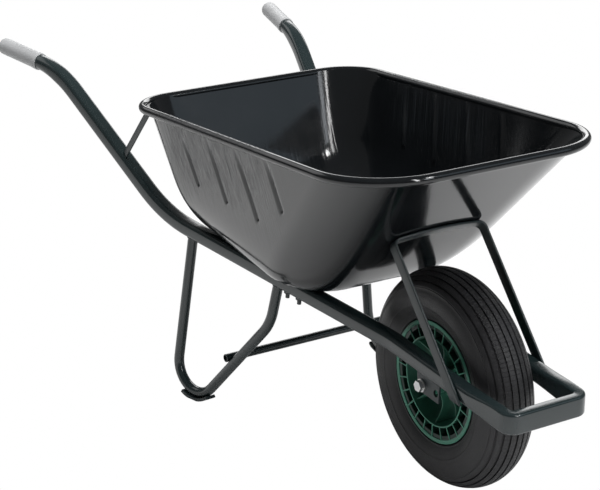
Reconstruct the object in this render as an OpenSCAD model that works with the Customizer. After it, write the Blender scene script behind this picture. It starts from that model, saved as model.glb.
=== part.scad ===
// Single-wheel barrow: pressed steel tray on one bent tube frame, with a pneumatic wheel.
// +X runs from the handles to the wheel, +Y is the barrow's left, +Z is up.
// The origin is on the ground, in the middle of the whole barrow.

/* [Overall] */
// Length from the grip ends to the front of the bow
overall_length = 1440; // [1380:1:1500]
// Distance from the front of the bow back to the wheel axle
axle_back = 271; // [262:1:290]

/* [Wheel] */
// Tyre outer diameter
tyre_d = 400; // [400:1:406]
// Tyre width at its widest
tyre_w = 104; // [98:1:106]
// Diameter of the rim seat under the tyre
rim_seat_d = 203; // [200:1:206]
// Outer diameter of the rim flanges
rim_flange_d = 225; // [222:1:228]
// Width of the rim over both flanges
rim_w = 84; // [80:1:88]
// Number of radial bars in the rim
rim_bars = 24; // [12:2:30]
// Length of the wheel hub
hub_length = 116; // [112:1:118]
// Outside diameter of the wheel hub
hub_d = 44; // [38:1:50]
// Diameter of the sleeve that the hub bushes run on
sleeve_d = 20; // [18:1:22]
// Diameter of the axle bolt
axle_d = 12; // [10:1:12]
// Running clearance between bush and sleeve, on the radius
running_gap = 0.05; // [0.02:0.01:0.1]

/* [Frame] */
// Outside diameter of the frame tube
tube_d = 30; // [28:1:31]
// Wall of the frame tube
tube_wall = 1.5; // [1.2:0.1:2.5]
// Half distance between the grip ends
grip_half_span = 326; // [320:1:332]
// Half distance between the rails where they toe in behind the wheel
knee_half_span = 81.6; // [80:0.1:84]
// Half distance between the tube centres at the bow corners
bow_half_span = 76.7; // [75:0.1:79]
// Height of the tube at the grip ends
grip_height = 598; // [585:1:610]
// Height of the bow's centre line
bow_height = 233; // [230:1:237]
// Bend radius where the handle turns down
upper_bend = 229; // [180:1:260]
// Bend radius where the handle turns into the rail
lower_bend = 291; // [220:1:310]
// Bend radius of the two bow corners
bow_bend = 26; // [20:1:32]
// Height of the flattened tube across the bow
bow_flat_h = 38; // [32:1:40]
// Thickness of the flattened tube across the bow
bow_flat_t = 22; // [18:1:24]

/* [Legs] */
// Diameter of the leg tube
leg_d = 20; // [18:1:22]
// Sideways lean of each leg loop, degrees
leg_splay = 5.7; // [4:0.1:7]
// Bend radius at the foot
foot_bend = 55; // [52:1:58]
// Diameter of the cross tube between the legs
cross_tube_d = 16; // [12:1:16]
// Half length of the cross tube
cross_tube_half = 196; // [190:1:210]
// Width of the wear plate under each foot
foot_plate_w = 24; // [22:1:32]
// Thickness of the wear plate
foot_plate_t = 6; // [5:0.5:7]

/* [Tray] */
// Height of the rim at the rear of the tray
rim_rear_z = 578; // [570:1:586]
// Height of the rim at the front of the tray
rim_front_z = 630; // [622:1:640]
// Diameter of the rolled rim bead
bead_d = 17; // [14:1:18]
// Half width of the tray mouth, on the bead's centre line
mouth_half_w = 265; // [255:1:270]
// Thickness of the tray in this model
tray_t = 1.6; // [1.4:0.1:3]

/* [Brace, straps and plates] */
// Width of the flat bar in the front brace
brace_w = 22; // [20:1:26]
// Thickness of the flat bar in the front brace
brace_t = 5; // [4:0.5:6]
// Width of the rear tray straps
strap_w = 14; // [12:1:18]
// Thickness of the rear tray straps
strap_t = 4; // [3:0.5:5]
// Thickness of the axle plates
plate_t = 4; // [3:0.5:4]
// Distance between the axle hole and the spare hole in each plate
plate_hole_pitch = 42; // [38:1:42]
// Radius of both holes in each axle plate
plate_hole_r = 6.5; // [6.2:0.1:7]

/* [Grips] */
// Outside diameter of the grips
grip_d = 34.5; // [33:0.5:38]
// Length of the grips
grip_length = 128; // [115:1:129]

/* [Hidden] */
$fn = 64;

FRAME_COLOUR = "#252c2c";
TRAY_COLOUR = "#17191a";
RIM_COLOUR = "#3f8a6d";
ZINC_COLOUR = "#c9ccd0";
GRIP_COLOUR = "#c4c6c8";
RUBBER_COLOUR = "#2b2b2d";

// --- Places along the barrow ------------------------------------------------
front_x = overall_length / 2;
axle_x = front_x - axle_back;
axle_z = tyre_d / 2;
tube_r = tube_d / 2;
eps = 0.01;

// The tube on one side lies in an upright plane from the grip to the rail knee.
knee_x = axle_x - 70;
knee_z = 263.5;
// The rounded grip end reaches this far behind the end point of its own centre line.
grip_overhang = 2.6;
grip_x = -front_x + grip_overhang;
side_yaw = atan2(grip_half_span - knee_half_span, knee_x - grip_x);
// Distances along that plane, from the knee back to each corner.
upper_run = 190;
handle_run = 327;
grip_s = (knee_x - grip_x) / cos(side_yaw);
upper_s = grip_s - upper_run;
upper_z = grip_height - 19;
lower_s = upper_s - handle_run;
lower_z = 347;
rail_pitch = atan2(lower_z - knee_z, lower_s);
grip_pitch = atan2(grip_height - upper_z, grip_s - upper_s);
// The bow's centre line is half the flattened thickness behind the front face.
bow_x = front_x - bow_flat_t / 2;
bow_pitch = atan2(knee_z - bow_height, bow_x - knee_x);
bow_run = (bow_x - knee_x) / cos(bow_pitch);
bow_toe = atan2(knee_half_span - bow_half_span, bow_run);

function rail_half_y(x) = knee_half_span + (knee_x - x) * tan(side_yaw);
function rail_z(x) = knee_z + (knee_x - x) / cos(side_yaw) * tan(rail_pitch);
function unit(v) = v / norm(v);
function corner_angle(a, b, c) = acos(max(-1, min(1, unit(b - a) * unit(c - b))));
function trim_length(a, b, c, bend) = bend * tan(corner_angle(a, b, c) / 2);

function bend_centre(a, b, c, bend) =
    b + unit(unit(c - b) - unit(b - a)) * bend / cos(corner_angle(a, b, c) / 2);

// Points of a round bend of radius bend at corner b.
function bend_points(a, b, c, bend, steps) =
    let (angle = corner_angle(a, b, c),
         start = b - unit(b - a) * trim_length(a, b, c, bend),
         centre = bend_centre(a, b, c, bend),
         ahead = unit(b - a) * bend)
    [for (k = [0 : steps])
        let (t = angle * k / steps)
        centre + (start - centre) * cos(t) + ahead * sin(t)];

// A path through corners, each corner rounded by its own bend radius; 0 ends the path.
function rounded_path(corners, bends, steps) =
    [for (i = [0 : len(corners) - 1])
        each (bends[i] == 0 ? [corners[i]]
              : bend_points(corners[i - 1], corners[i], corners[i + 1], bends[i], steps[i]))];

// Flat-sided oval, w wide and h high; a circle when both are the same.
function oval_point(w, h, a) =
    [w / 2 * cos(a), w / 2 * sin(a) + (h - w) / 2 * (sin(a) > eps ? 1 : sin(a) < -eps ? -1 : 0)];

// Ring of points round one place of a path, with its height along the up vector.
function ring_points(path, i, up, size, sides) =
    let (ahead = unit(path[min(i + 1, len(path) - 1)] - path[max(i - 1, 0)]),
         across = unit(cross(ahead, up)),
         lift = cross(across, ahead))
    [for (k = [0 : sides - 1])
        let (p = oval_point(size.x, size.y, 360 * (k + 0.5) / sides))
        path[i] + across * p.x + lift * p.y];

// Hollow tube along a path; sizes holds the width and height of the section at each point.
module swept_tube(path, sizes, up, wall, sides) {
    n = len(path);
    shrink = [2 * wall, 2 * wall];
    outer = [for (i = [0 : n - 1]) each ring_points(path, i, up, sizes[i], sides)];
    inner = [for (i = [0 : n - 1]) each ring_points(path, i, up, sizes[i] - shrink, sides)];
    skin = n * sides;
    outer_faces = [for (i = [0 : n - 2], k = [0 : sides - 1])
        let (m = (k + 1) % sides)
        [i * sides + k, i * sides + m, (i + 1) * sides + m, (i + 1) * sides + k]];
    inner_faces = [for (f = outer_faces) [skin + f[3], skin + f[2], skin + f[1], skin + f[0]]];
    first_end = [for (k = [0 : sides - 1]) let (m = (k + 1) % sides) [skin + k, skin + m, m, k]];
    last = (n - 1) * sides;
    last_end = [for (k = [0 : sides - 1])
        let (m = (k + 1) % sides)
        [last + k, last + m, skin + last + m, skin + last + k]];
    polyhedron(concat(outer, inner), concat(outer_faces, inner_faces, first_end, last_end),
               convexity = 8);
}

module both_sides() {
    children();
    mirror([0, 1, 0])
        children();
}

// --- Frame tube --------------------------------------------------------------
// Upright plane of one handle and rail: X runs back from the knee, Y is up.
module side_plane() {
    translate([knee_x, -knee_half_span, knee_z])
        rotate([0, 0, 180 + side_yaw])
            rotate([90, 0, 0])
                children();
}

function side_point(s, z) = [knee_x - s * cos(side_yaw), knee_half_span + s * sin(side_yaw), z];

// The tube stops this far inside the closed end of the grip.
tube_inset = 4.5;
tube_end_z = grip_height - tube_inset * tan(grip_pitch);
LEFT_CORNERS = [side_point(grip_s - tube_inset, tube_end_z), side_point(upper_s, upper_z),
                side_point(lower_s, lower_z), [knee_x, knee_half_span, knee_z],
                [bow_x, bow_half_span, bow_height]];
RIGHT_CORNERS = [for (i = [len(LEFT_CORNERS) - 1 : -1 : 0])
    [LEFT_CORNERS[i].x, -LEFT_CORNERS[i].y, LEFT_CORNERS[i].z]];
knee_bend = 200;
SIDE_BENDS = [0, upper_bend, lower_bend, knee_bend, bow_bend];
SIDE_STEPS = [0, 9, 8, 3, 6];
FRAME_PATH = let (corners = concat(LEFT_CORNERS, RIGHT_CORNERS),
                  last = len(SIDE_BENDS) - 1,
                  order = [for (i = [0 : 2 * last + 1]) i <= last ? i : 2 * last + 1 - i])
    rounded_path(corners, [for (i = order) SIDE_BENDS[i]], [for (i = order) SIDE_STEPS[i]]);

// The tube is round up to the brace and pressed flat and tall around the bow.
taper_start = bow_x - 110;
taper_end = bow_x - 30;
function flatness(x) = max(0, min(1, (x - taper_start) / (taper_end - taper_start)));
function tube_size(x) =
    [tube_d, tube_d] + flatness(x) * [bow_flat_t - tube_d, bow_flat_h - tube_d];

module frame_tube() {
    color(FRAME_COLOUR)
        swept_tube(FRAME_PATH, [for (p = FRAME_PATH) tube_size(p.x)], [0, 0, 1], tube_wall, 20);
}

// --- Grips -------------------------------------------------------------------
// Thickness of the closed end of the grip.
grip_floor_t = 4.2;

module grip() {
    grip_r = grip_d / 2;
    end_round = 7;
    collar_t = 4;
    color(GRIP_COLOUR)
        side_plane()
            translate([grip_s, grip_height - knee_z])
                rotate([0, 0, grip_pitch])
                    rotate([0, -90, 0])
                        difference() {
                            union() {
                                rotate_extrude() {
                                    square([grip_r - end_round, end_round]);
                                    translate([0, end_round])
                                        square([grip_r, grip_length - end_round]);
                                    translate([grip_r - end_round, end_round])
                                        intersection() {
                                            circle(end_round);
                                            translate([0, -end_round])
                                                square(end_round);
                                        }
                                }
                                translate([0, 0, grip_length - collar_t])
                                    cylinder(h = collar_t, r = grip_r + 0.8);
                            }
                            translate([0, 0, grip_floor_t])
                                cylinder(h = grip_length, r = tube_r + 0.05);
                        }
}

// --- Legs ----------------------------------------------------------------------
leg_r = leg_d / 2;
leg_rear_x = -151;
leg_knee_bend = 100;
leg_wall = 1.5;
// The ends stop just under the rail.
leg_top = tube_r + 1.3;
// The loop in its own plane: X runs forward along the rail, Y is up from the rail's centre line.
LEG_PATH = [[18.5, -leg_top, 0], [41.5, -436, 0], [257, -97, 0], [259.5, -leg_top, 0]];
LEG_BENDS = [0, foot_bend, leg_knee_bend, 0];

module leg_plane() {
    translate([leg_rear_x, -rail_half_y(leg_rear_x), rail_z(leg_rear_x)])
        rotate([0, 0, side_yaw])
            rotate([0, rail_pitch, 0])
                rotate([90 - leg_splay, 0, 0])
                    children();
}

module leg() {
    path = rounded_path(LEG_PATH, LEG_BENDS, [0, 12, 6, 0]);
    color(FRAME_COLOUR)
        leg_plane()
            swept_tube(path, [for (p = path) [leg_d, leg_d]], [0, 0, 1], leg_wall, 16);
}

// The wear plate is a strip curved round the bottom of the foot bend, and flat where it stands.
foot_plate_start = 251;
foot_plate_sweep = 64;

module foot_plate() {
    color(FRAME_COLOUR)
        difference() {
            leg_plane()
                translate(bend_centre(LEG_PATH[0], LEG_PATH[1], LEG_PATH[2], foot_bend))
                    rotate([0, 0, foot_plate_start])
                        rotate_extrude(angle = foot_plate_sweep, $fn = 96)
                            translate([foot_bend + leg_r + 0.1, -foot_plate_w / 2])
                                square([foot_plate_t, foot_plate_w]);
            // Everything below the ground is cut off.
            translate([-400, -400, -50])
                cube([800, 400, 50]);
        }
}

// --- Cross tube between the legs -------------------------------------------------
cross_tube_x = -17.7;
cross_tube_z = 107.6;
cross_tube_wall = 1.5;

module leg_cross_tube() {
    color(FRAME_COLOUR)
        translate([cross_tube_x, -cross_tube_half, cross_tube_z])
            rotate([-90, 0, 0])
                difference() {
                    cylinder(h = 2 * cross_tube_half, r = cross_tube_d / 2);
                    translate([0, 0, -1])
                        cylinder(h = 2 * cross_tube_half + 2, r = cross_tube_d / 2 - cross_tube_wall);
                }
}

// The bow and the rails in front of the knee lie in one plane, tipped down to the front.
module bow_plane() {
    translate([bow_x, 0, bow_height])
        rotate([0, bow_pitch, 0])
            children();
}

// --- Front brace: one flat bar bent into an upside-down U ------------------------------
brace_top_x = axle_x - 55;
brace_top_z = 455;
brace_foot_x = axle_x + 130;
brace_foot_z = 240;
brace_lean = atan2(brace_top_z - brace_foot_z, brace_foot_x - brace_top_x);
brace_run = norm([brace_foot_x - brace_top_x, brace_top_z - brace_foot_z]);
brace_bend = 9;
// The uprights stand just outside the rails, at the rails' widest place beside them.
brace_gap = 0.5;
brace_half_y = knee_half_span - (brace_foot_x - knee_x) * tan(bow_toe) / 4 + tube_r + brace_gap;

module brace_plane() {
    translate([brace_top_x, 0, brace_top_z])
        rotate([0, brace_lean, 0])
            children();
}

module front_brace() {
    corner = brace_bend + brace_t / 2;
    color(FRAME_COLOUR)
        difference() {
            brace_plane()
                both_sides() {
                    translate([-brace_t / 2, -eps, -brace_w / 2])
                        cube([brace_t, brace_half_y - brace_bend + eps, brace_w]);
                    translate([brace_bend, brace_half_y - brace_t / 2, -brace_w / 2])
                        cube([brace_run + 30, brace_t, brace_w]);
                    translate([brace_bend, brace_half_y - brace_bend, 0])
                        rotate([0, 0, 90])
                            rotate_extrude(angle = 90)
                                translate([corner - brace_t, -brace_w / 2])
                                    square([brace_t, brace_w]);
                }
            // The feet are cut off along the underside of the rails.
            bow_plane()
                translate([-250, -200, -100 - tube_r])
                    cube([300, 400, 100]);
        }
}

// --- Axle plates ----------------------------------------------------------------------
plate_inner_y = 62;

module axle_plate() {
    color(FRAME_COLOUR)
        difference() {
            translate([axle_x, -plate_inner_y, axle_z])
                rotate([90, 0, 0])
                    difference() {
                        linear_extrude(plate_t)
                            polygon([[-16, 62], [-13, -4], [-2, -13], [50, -17], [53, 53]]);
                        for (x = [0, plate_hole_pitch])
                            translate([x, 0, -1])
                                cylinder(h = plate_t + 2, r = plate_hole_r);
                    }
            bow_plane()
                translate([-bow_run, -knee_half_span, 0])
                    rotate([0, 90, bow_toe])
                        cylinder(h = bow_run, r = tube_r + 0.05);
        }
}

// --- Tray ---------------------------------------------------------------------------------
bead_r = bead_d / 2;
rim_rear_x = axle_x - 716;
rim_front_x = axle_x + 104;
corner_steps = 8;
wall_steps = 6;
bend_steps = 8;

function rim_z(x) =
    rim_rear_z + (x - rim_rear_x) / (rim_front_x - rim_rear_x) * (rim_front_z - rim_rear_z);

// Points around a box with rounded corners, from the rear right corner by way of the front.
// A corner is [x, y, radius]; each is an arc of corner_steps steps.
function corner_arc(c, from) =
    [for (k = [0 : corner_steps])
        let (a = from + 90 * k / corner_steps)
        [c.x + c.z * cos(a), c.y + c.z * sin(a)]];
function outline(x0, x1, half_w, r0, r1) =
    concat(corner_arc([x0 + r0, -half_w + r0, r0], 180),
           corner_arc([x1 - r1, -half_w + r1, r1], 270),
           corner_arc([x1 - r1, half_w - r1, r1], 0),
           corner_arc([x0 + r0, half_w - r0, r0], 90));

// Floor plane of the tray, which rests on the rails.
function floor_z(x) = rail_z(x) + tube_r / cos(rail_pitch) + 0.3;

// The wall drops straight from the mouth, then rolls into the floor.
// inset moves the whole skin inwards and up, so the same rule makes both faces.
function tray_ring(t, inset) =
    let (mouth = outline(rim_rear_x + 6 + inset, rim_front_x - 6 - inset, mouth_half_w - 6 - inset,
                         104 - inset, 130 - inset),
         turnover = outline(axle_x - 628 + inset, axle_x - 207 - inset, 209 - inset, 72, 120),
         floor_edge = outline(axle_x - 540 + inset, axle_x - 250 - inset, 155 - inset, 60, 90),
         straight = 0.6)
    [for (i = [0 : len(mouth) - 1])
        let (m = [mouth[i].x, mouth[i].y, rim_z(mouth[i].x) - 4],
             c = [turnover[i].x, turnover[i].y, floor_z(turnover[i].x) + inset],
             f = [floor_edge[i].x, floor_edge[i].y, floor_z(floor_edge[i].x) + inset],
             s = m + (c - m) * straight,
             u = max(0, t - 1))
        t <= 1 ? m + (s - m) * t : s * pow(1 - u, 2) + c * 2 * u * (1 - u) + f * pow(u, 2)];

function tray_levels() =
    concat([for (k = [0 : wall_steps]) k / wall_steps],
           [for (k = [1 : bend_steps]) 1 + k / bend_steps]);

// Closed shell: outer skin, inner skin, a lip between them and two floor caps.
module tray_shell() {
    levels = tray_levels();
    rings = len(levels);
    n = len(outline(0, 500, 200, 50, 50));
    outer = [for (t = levels) each tray_ring(t, 0)];
    inner = [for (t = levels) each tray_ring(t, tray_t)];
    skin = rings * n;
    outer_faces = [for (j = [0 : rings - 2], i = [0 : n - 1])
        [j * n + i, j * n + (i + 1) % n, (j + 1) * n + (i + 1) % n, (j + 1) * n + i]];
    inner_faces = [for (f = outer_faces) [skin + f[3], skin + f[2], skin + f[1], skin + f[0]]];
    lip = [for (i = [0 : n - 1]) [i, skin + i, skin + (i + 1) % n, (i + 1) % n]];
    under = [for (i = [0 : n - 1]) (rings - 1) * n + i];
    over = [for (i = [n - 1 : -1 : 0]) skin + (rings - 1) * n + i];
    polyhedron(concat(outer, inner), concat(outer_faces, inner_faces, lip, [under], [over]),
               convexity = 6);
}

// The rolled bead around the mouth: a round bar swept round the tilted outline.
module rim_bead() {
    sides = 16;
    ring = outline(rim_rear_x, rim_front_x, mouth_half_w, 88, 136);
    n = len(ring);
    points = [for (i = [0 : n - 1])
        let (along = ring[(i + 1) % n] - ring[(i + n - 1) % n],
             out = [along.y, -along.x] / norm(along))
        each [for (k = [0 : sides - 1])
            let (a = 360 * k / sides, p = ring[i] + out * bead_r * cos(a))
            [p.x, p.y, rim_z(ring[i].x) - bead_r + bead_r * sin(a)]]];
    faces = [for (i = [0 : n - 1], k = [0 : sides - 1])
        let (j = (i + 1) % n, m = (k + 1) % sides)
        [i * sides + k, i * sides + m, j * sides + m, j * sides + k]];
    polyhedron(points, faces, convexity = 6);
}

// The bolts stand ahead of the leg tops, on the flat of the floor.
FLOOR_BOLT_X = [125, 155];
floor_hole_r = 4.2;

module floor_bolt_places() {
    for (x = FLOOR_BOLT_X)
        both_sides()
            translate([x, -rail_half_y(x), floor_z(x)])
                rotate([0, rail_pitch, 0])
                    children();
}

module tray() {
    color(TRAY_COLOUR)
        difference() {
            union() {
                tray_shell();
                rim_bead();
            }
            floor_bolt_places()
                cylinder(h = 40, r = floor_hole_r, center = true);
        }
}

// --- Rear tray straps -----------------------------------------------------------------
STRAP_FOOT = [-323, 451];
strap_top_x = -216;
// The strap stops just under the rolled rim.
strap_gap = 5;
strap_y = 243;

module tray_strap() {
    top = [strap_top_x, rim_z(strap_top_x) - bead_d - strap_gap];
    run = top - STRAP_FOOT;
    color(FRAME_COLOUR)
        translate([STRAP_FOOT.x, -strap_y, STRAP_FOOT.y])
            rotate([90, 0, 0])
                rotate([0, 0, atan2(run.y, run.x)])
                    translate([0, -strap_w / 2, 0])
                        cube([norm(run), strap_w, strap_t]);
}

// --- Fasteners ----------------------------------------------------------------------------
FLOOR_BOLT_R = 4;
// The nuts sit just under the tube.
floor_nut_drop = 1.6 * FLOOR_BOLT_R + 0.7;

// Button-head bolt: the head stands on the plane z = 0 and the shank runs down.
module round_head_bolt(r, length) {
    cylinder(h = 2 * r * 0.55, r1 = r * 1.8, r2 = r * 1.3);
    translate([0, 0, -length])
        cylinder(h = length, r = r);
}

module hex_nut(r) {
    difference() {
        cylinder(h = 1.6 * r, r = r * 1.85, $fn = 6);
        translate([0, 0, -1])
            cylinder(h = 1.6 * r + 2, r = r + 0.02);
    }
}

module floor_bolts() {
    color(ZINC_COLOUR)
        floor_bolt_places()
            translate([0, 0, tray_t + 0.05])
                round_head_bolt(FLOOR_BOLT_R, tube_d + 18);
}

module floor_nuts() {
    color(ZINC_COLOUR)
        floor_bolt_places()
            translate([0, 0, -tube_d - floor_nut_drop])
                hex_nut(FLOOR_BOLT_R);
}

// --- Axle ------------------------------------------------------------------------------------
axle_r = axle_d / 2;
axle_hex_r = 10.4;
washer_t = 2.5;
plate_outer_y = plate_inner_y + plate_t;

// Local frame of the wheel: Z runs to the barrow's right along the axle.
module wheel_place() {
    translate([axle_x, 0, axle_z])
        rotate([90, 0, 0])
            children();
}

module axle_bolt() {
    grip_half = plate_outer_y + washer_t;
    color(ZINC_COLOUR)
        wheel_place() {
            translate([0, 0, -grip_half - 14])
                cylinder(h = 2 * grip_half + 14, r = axle_r);
            translate([0, 0, grip_half])
                cylinder(h = 7.5, r = axle_hex_r, $fn = 6);
        }
}

module axle_nut() {
    color(ZINC_COLOUR)
        wheel_place()
            translate([0, 0, -plate_outer_y - washer_t - 10])
                difference() {
                    cylinder(h = 10, r = axle_hex_r, $fn = 6);
                    translate([0, 0, -1])
                        cylinder(h = 12, r = axle_r);
                }
}

module axle_washers() {
    color(ZINC_COLOUR)
        wheel_place()
            for (z = [plate_outer_y, -plate_outer_y - washer_t])
                translate([0, 0, z])
                    difference() {
                        cylinder(h = washer_t, r = 12);
                        translate([0, 0, -1])
                            cylinder(h = washer_t + 2, r = axle_r);
                    }
}

module axle_sleeve() {
    color(ZINC_COLOUR)
        wheel_place()
            translate([0, 0, -plate_inner_y])
                difference() {
                    cylinder(h = 2 * plate_inner_y, r = sleeve_d / 2);
                    translate([0, 0, -1])
                        cylinder(h = 2 * plate_inner_y + 2, r = axle_r + 0.1);
                }
}

// --- Wheel ---------------------------------------------------------------------------------------
seat_r = rim_seat_d / 2;
flange_r = rim_flange_d / 2;
bush_r = 14;
bush_length = 30;
bush_flange_t = 2;
barrel_t = 4;
flange_t = 3;
inner_ring_r = 80;
inner_ring_t = 3;
inner_ring_w = 70;
bar_t = 2.5;
bar_half = rim_w / 2 - 4;
// The valve stands midway between two bars.
valve_angle = 90 + 112.5;
valve_r = 4;

module hub_bush() {
    color("#1c1c1c")
        wheel_place()
            difference() {
                union() {
                    translate([0, 0, hub_length / 2 - bush_length])
                        cylinder(h = bush_length, r = bush_r);
                    translate([0, 0, hub_length / 2])
                        cylinder(h = bush_flange_t, r = bush_r + 4);
                }
                translate([0, 0, hub_length / 2 - bush_length - 1])
                    cylinder(h = bush_length + bush_flange_t + 2, r = sleeve_d / 2 + running_gap);
            }
}

module wheel_rim() {
    color(RIM_COLOUR)
        wheel_place()
            difference() {
                union() {
                    // Hub, with a wider bore between the two bushes.
                    cylinder(h = hub_length, r = hub_d / 2, center = true);
                    // Barrel with a flange at each edge.
                    difference() {
                        union() {
                            cylinder(h = rim_w, r = seat_r, center = true);
                            for (side = [-1, 1])
                                translate([0, 0, side * (rim_w - flange_t) / 2])
                                    cylinder(h = flange_t, r = flange_r, center = true);
                        }
                        cylinder(h = rim_w + 2, r = seat_r - barrel_t, center = true);
                    }
                    // Thin ring inside the row of cells.
                    difference() {
                        cylinder(h = inner_ring_w, r = inner_ring_r + inner_ring_t, center = true);
                        cylinder(h = inner_ring_w + 2, r = inner_ring_r, center = true);
                    }
                    // Short bars across the cells; every third one runs on to the hub.
                    for (i = [0 : rim_bars - 1])
                        let (start = i % 3 == 0 ? hub_d / 2 - 2 : inner_ring_r + 1)
                            rotate([0, 0, 360 * i / rim_bars])
                                translate([start, -bar_t / 2, -bar_half])
                                    cube([seat_r - barrel_t + 1 - start, bar_t, 2 * bar_half]);
                }
                cylinder(h = hub_length + 2, r = sleeve_d / 2 + 1, center = true);
                for (side = [-1, 1])
                    translate([0, 0, side * hub_length / 2])
                        cylinder(h = 2 * bush_length, r = bush_r, center = true);
                rotate([0, 90, valve_angle])
                    translate([0, 0, seat_r - barrel_t - 4])
                        cylinder(h = 12, r = valve_r + 0.2);
            }
}

module tyre_section(r, bead_half) {
    difference() {
        union() {
            translate([tyre_d / 2 - tyre_w / 2, 0])
                circle(r);
            translate([seat_r, -bead_half])
                square([12, 2 * bead_half]);
        }
        translate([seat_r - 100 + 0.1, -100])
            square([100, 200]);
    }
}

tyre_shell = 6;
// Half width of the open slot between the two tyre beads.
tyre_bead_gap = 28;

module tyre() {
    color(RUBBER_COLOUR)
        wheel_place()
            rotate_extrude($fn = 180)
                difference() {
                    tyre_section(tyre_w / 2, rim_w / 2 - flange_t - 0.2);
                    tyre_section(tyre_w / 2 - tyre_shell, tyre_bead_gap);
                }
}

module inner_tube() {
    tube_section_r = tyre_w / 2 - tyre_shell - 0.4;
    color("#101010")
        wheel_place()
            rotate_extrude($fn = 96)
                translate([tyre_d / 2 - tyre_w / 2, 0])
                    difference() {
                        circle(tube_section_r);
                        circle(tube_section_r - 2);
                    }
}

valve_start_r = 86;
valve_cap_r = 5;
valve_cap_length = 10;
// Radius from the wheel's middle at which the closed end of the cap lies.
valve_cap_start_r = 84;

module valve_place() {
    wheel_place()
        rotate([0, 90, valve_angle])
            children();
}

module valve_stem() {
    color("#101010")
        valve_place()
            translate([0, 0, valve_start_r])
                cylinder(h = seat_r + 0.7 - valve_start_r, r = valve_r);
}

module valve_cap() {
    color("#101010")
        valve_place()
            translate([0, 0, valve_cap_start_r])
                difference() {
                    cylinder(h = valve_cap_length, r = valve_cap_r);
                    translate([0, 0, valve_start_r - valve_cap_start_r])
                        cylinder(h = valve_cap_length, r = valve_r);
                }
}

frame_tube();
grip();  // right_grip
mirror([0, 1, 0]) grip();  // left_grip
leg();  // right_leg
mirror([0, 1, 0]) leg();  // left_leg
foot_plate();  // right_foot_plate
mirror([0, 1, 0]) foot_plate();  // left_foot_plate
leg_cross_tube();
front_brace();
axle_plate();  // right_axle_plate
mirror([0, 1, 0]) axle_plate();  // left_axle_plate
tray();
tray_strap();  // right_tray_strap
mirror([0, 1, 0]) tray_strap();  // left_tray_strap
floor_bolts();
floor_nuts();
axle_bolt();
axle_nut();
axle_washers();
axle_sleeve();
wheel_rim();
hub_bush();  // right_hub_bush
mirror([0, 1, 0]) hub_bush();  // left_hub_bush
tyre();
inner_tube();
valve_stem();
valve_cap();
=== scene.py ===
"""A builder's barrow: glossy deep-drawn tray, bent tube frame, leg loops, grips and pneumatic wheel."""

import math

import bpy
from mathutils import Matrix, Vector, noise


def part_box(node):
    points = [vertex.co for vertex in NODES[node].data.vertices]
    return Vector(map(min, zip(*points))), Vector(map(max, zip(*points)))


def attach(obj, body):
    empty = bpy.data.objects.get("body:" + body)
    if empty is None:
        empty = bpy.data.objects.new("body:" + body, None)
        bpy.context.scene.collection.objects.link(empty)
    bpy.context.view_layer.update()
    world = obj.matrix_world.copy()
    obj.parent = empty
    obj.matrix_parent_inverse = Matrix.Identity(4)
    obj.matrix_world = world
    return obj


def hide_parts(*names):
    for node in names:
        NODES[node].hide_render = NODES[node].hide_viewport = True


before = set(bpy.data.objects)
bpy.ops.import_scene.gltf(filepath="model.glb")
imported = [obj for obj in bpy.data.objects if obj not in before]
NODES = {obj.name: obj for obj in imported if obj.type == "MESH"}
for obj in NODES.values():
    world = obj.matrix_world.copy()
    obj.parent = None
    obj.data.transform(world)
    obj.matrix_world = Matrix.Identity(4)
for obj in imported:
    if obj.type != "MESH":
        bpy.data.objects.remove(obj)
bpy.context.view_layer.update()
MM = 0.001

# --- Places taken from the frame, in millimetres -------------------------------------------


def box_mm(node):
    low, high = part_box(node)
    return low / MM, high / MM


TYRE_LOW, TYRE_HIGH = box_mm("tyre")
GRIP_LOW, GRIP_HIGH = box_mm("left_grip")
CROSS_LOW, CROSS_HIGH = box_mm("leg_cross_tube")
TRAY_HIGH = box_mm("tray")[1]
FRAME_HIGH = box_mm("frame_tube")[1]
BRACE_HIGH = box_mm("front_brace")[1]

AXLE = (TYRE_LOW + TYRE_HIGH) / 2
TYRE_R = (TYRE_HIGH.z - TYRE_LOW.z) / 2
TYRE_HALF_W = (TYRE_HIGH.y - TYRE_LOW.y) / 2
BOW_FRONT = FRAME_HIGH.x
GRIP_END_X = GRIP_LOW.x

# --- Mesh making -----------------------------------------------------------------------------


def deselect():
    bpy.ops.object.select_all(action="DESELECT")


def pick(piece):
    """Makes one piece the only one selected, and the active one."""
    deselect()
    bpy.context.view_layer.objects.active = piece
    piece.select_set(True)


def edit(piece):
    pick(piece)
    bpy.ops.object.mode_set(mode="EDIT")
    bpy.ops.mesh.select_all(action="SELECT")


def leave_edit():
    bpy.ops.object.mode_set(mode="OBJECT")


def edit_where(piece, wanted):
    """Goes into edit mode with only the wanted points selected."""
    edit(piece)
    bpy.ops.mesh.select_all(action="DESELECT")
    leave_edit()
    for vertex in piece.data.vertices:
        vertex.select = wanted(vertex.co / MM)
    bpy.ops.object.mode_set(mode="EDIT")
    bpy.ops.mesh.select_mode(type="VERT")


def close_up(piece, cap_ends):
    """Merges the seams, caps the open ends and turns the faces outwards."""
    edit(piece)
    bpy.ops.mesh.remove_doubles(threshold=0.00002)
    if cap_ends:
        bpy.ops.mesh.select_all(action="DESELECT")
        bpy.ops.mesh.select_mode(type="EDGE")
        bpy.ops.mesh.select_non_manifold()
        bpy.ops.mesh.fill_holes(sides=0)
        bpy.ops.mesh.select_mode(type="VERT")
        bpy.ops.mesh.select_all(action="SELECT")
    bpy.ops.mesh.normals_make_consistent(inside=False)
    leave_edit()


def smooth(piece, angle=35):
    pick(piece)
    bpy.ops.object.shade_smooth_by_angle(angle=math.radians(angle))


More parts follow.
